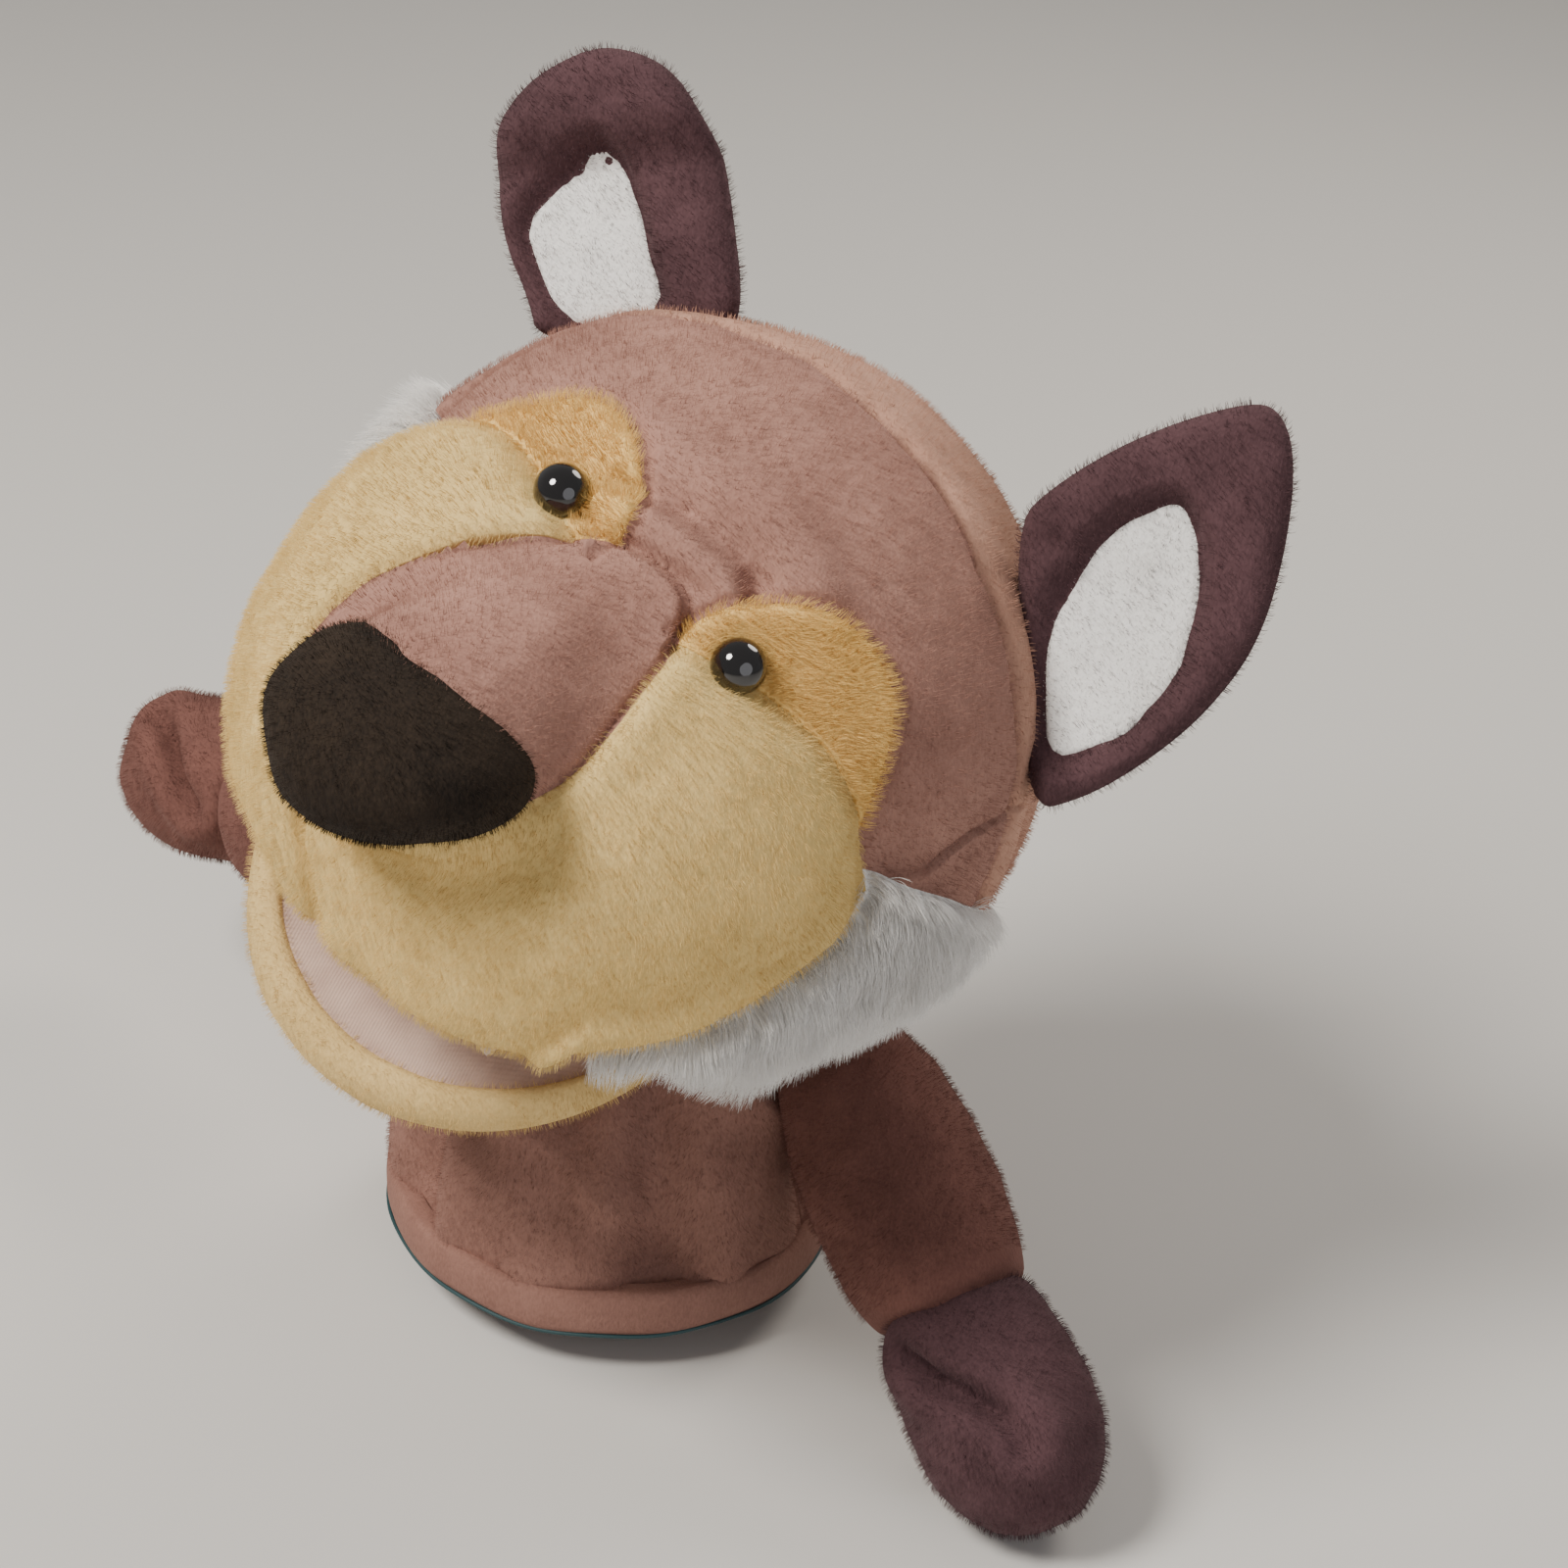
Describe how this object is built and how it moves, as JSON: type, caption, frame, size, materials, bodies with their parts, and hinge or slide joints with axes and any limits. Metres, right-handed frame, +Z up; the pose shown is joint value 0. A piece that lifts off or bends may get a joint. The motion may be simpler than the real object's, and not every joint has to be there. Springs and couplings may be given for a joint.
{
  "type": "animal hand puppet",
  "caption": "Plush wolf hand puppet: open sleeve for the arm, stuffed head with a hinged lower jaw, soft ears and two stuffed arms with paws.",
  "frame": {"origin": "centre of the cuff opening, in the plane of its lower edge", "axes": "+Z up the sleeve towards the head, -Y the way the puppet faces, +X the puppet's left"},
  "size_m": [0.3556, 0.224, 0.3256],
  "materials": {
    "plush_mauve": "short pile plush",
    "plush_cream": "short pile plush",
    "plush_nose": "short pile plush",
    "plush_plum": "short pile plush",
    "plush_brown": "short pile plush",
    "plush_white": "long pile plush",
    "lining_pink": "smooth woven lining",
    "board_ivory": "flat stiffener sheet",
    "eye_black": "polished",
    "washer_white": "moulded",
    "stuffing_white": "loose fibre filling"
  },
  "bodies": {
    "sleeve": {"cuff_hem": "plush_mauve", "sleeve_front": "plush_mauve", "sleeve_back": "plush_mauve", "sleeve_lining": "lining_pink"},
    "neck_lower": {"neck_ring_lower": "plush_mauve"},
    "neck_upper": {"neck_ring_upper": "plush_mauve"},
    "head": {"neck_collar": "plush_mauve", "forehead_panel": "plush_mauve", "head_back_panel": "plush_mauve", "head_stuffing": "stuffing_white", "muzzle_stuffing": "stuffing_white", "muzzle_left": "plush_cream", "muzzle_right": "plush_cream", "nose_bridge": "plush_mauve", "nose_cover": "plush_nose", "nose_stuffing": "stuffing_white", "eye_patch_left": "plush_cream", "eye_patch_right": "plush_cream", "eye_left": "eye_black", "eye_right": "eye_black", "eye_washer_left": "washer_white", "eye_washer_right": "washer_white", "cheek_tuft_left": "plush_white", "cheek_tuft_right": "plush_white", "palate_lining": "lining_pink", "palate_board": "board_ivory", "hand_pocket": "lining_pink"},
    "jaw": {"jaw_lining": "lining_pink", "jaw_board": "board_ivory", "jaw_cover": "plush_cream", "thumb_pocket": "lining_pink"},
    "ear_left": {"ear_shell_left": "plush_plum", "ear_lining_left": "plush_white"},
    "ear_right": {"ear_shell_right": "plush_plum", "ear_lining_right": "plush_white"},
    "shoulder_left": {"arm_root_left": "plush_brown"},
    "shoulder_right": {"arm_root_right": "plush_brown"},
    "arm_left": {"arm_cover_left": "plush_brown", "arm_stuffing_left": "stuffing_white"},
    "arm_right": {"arm_cover_right": "plush_brown", "arm_stuffing_right": "stuffing_white"},
    "paw_left": {"paw_cover_left": "plush_plum", "paw_stuffing_left": "stuffing_white"},
    "paw_right": {"paw_cover_right": "plush_plum", "paw_stuffing_right": "stuffing_white"}
  },
  "joints": [
    {"name": "neck_turn", "type": "hinge", "parent": "sleeve", "child": "neck_lower", "pos_m": [0, 0, 0.126], "axis": [0, 0, 1], "range_deg": [-20, 20], "stiffness_Nm_per_rad": 2},
    {"name": "neck_nod", "type": "hinge", "parent": "neck_lower", "child": "neck_upper", "pos_m": [0, 0, 0.126], "axis": [1, 0, 0], "range_deg": [-8, 8], "stiffness_Nm_per_rad": 2.4},
    {"name": "neck_tilt", "type": "hinge", "parent": "neck_upper", "child": "head", "pos_m": [0, 0, 0.126], "axis": [0, 0.9397, -0.342], "range_deg": [-18, 2], "stiffness_Nm_per_rad": 2.4},
    {"name": "jaw_open", "type": "hinge", "parent": "head", "child": "jaw", "pos_m": [-0.00472, -0.05562, 0.13688], "axis": [0.8862, -0.1585, -0.4354], "range_deg": [-33, 16], "stiffness_Nm_per_rad": 0.3},
    {"name": "ear_left_fold", "type": "hinge", "parent": "head", "child": "ear_left", "pos_m": [0.10716, -0.01013, 0.20338], "axis": [0.299, -0.3264, -0.8967], "range_deg": [-20, 20], "stiffness_Nm_per_rad": 0.06},
    {"name": "ear_right_fold", "type": "hinge", "parent": "head", "child": "ear_right", "pos_m": [-0.0045, 0.00983, 0.25823], "axis": [-0.9542, -0.1023, -0.281], "range_deg": [-20, 20], "stiffness_Nm_per_rad": 0.06},
    {"name": "shoulder_left_swing", "type": "hinge", "parent": "sleeve", "child": "shoulder_left", "pos_m": [0.056, 0.004, 0.082], "axis": [0, 0, 1], "range_deg": [-6, 45], "stiffness_Nm_per_rad": 0.5},
    {"name": "shoulder_right_swing", "type": "hinge", "parent": "sleeve", "child": "shoulder_right", "pos_m": [-0.056, 0.004, 0.082], "axis": [0, 0, -1], "range_deg": [-45, 10], "stiffness_Nm_per_rad": 0.5},
    {"name": "arm_left_raise", "type": "hinge", "parent": "shoulder_left", "child": "arm_left", "pos_m": [0.056, 0.004, 0.082], "axis": [-0.521, -0.8536, 0], "range_deg": [-4, 22], "stiffness_Nm_per_rad": 0.8},
    {"name": "arm_right_raise", "type": "hinge", "parent": "shoulder_right", "child": "arm_right", "pos_m": [-0.056, 0.004, 0.082], "axis": [0.3256, 0.9455, 0], "range_deg": [-34, 18], "stiffness_Nm_per_rad": 0.8},
    {"name": "paw_left_bend", "type": "hinge", "parent": "arm_left", "child": "paw_left", "pos_m": [0.11516, -0.03211, 0.03454], "axis": [0.521, 0.8536, 0], "range_deg": [-25, 25], "stiffness_Nm_per_rad": 0.25},
    {"name": "paw_right_bend", "type": "hinge", "parent": "arm_right", "child": "paw_right", "pos_m": [-0.13457, 0.03105, 0.06973], "axis": [-0.3256, -0.9455, 0], "range_deg": [-25, 25], "stiffness_Nm_per_rad": 0.25}
  ]
}
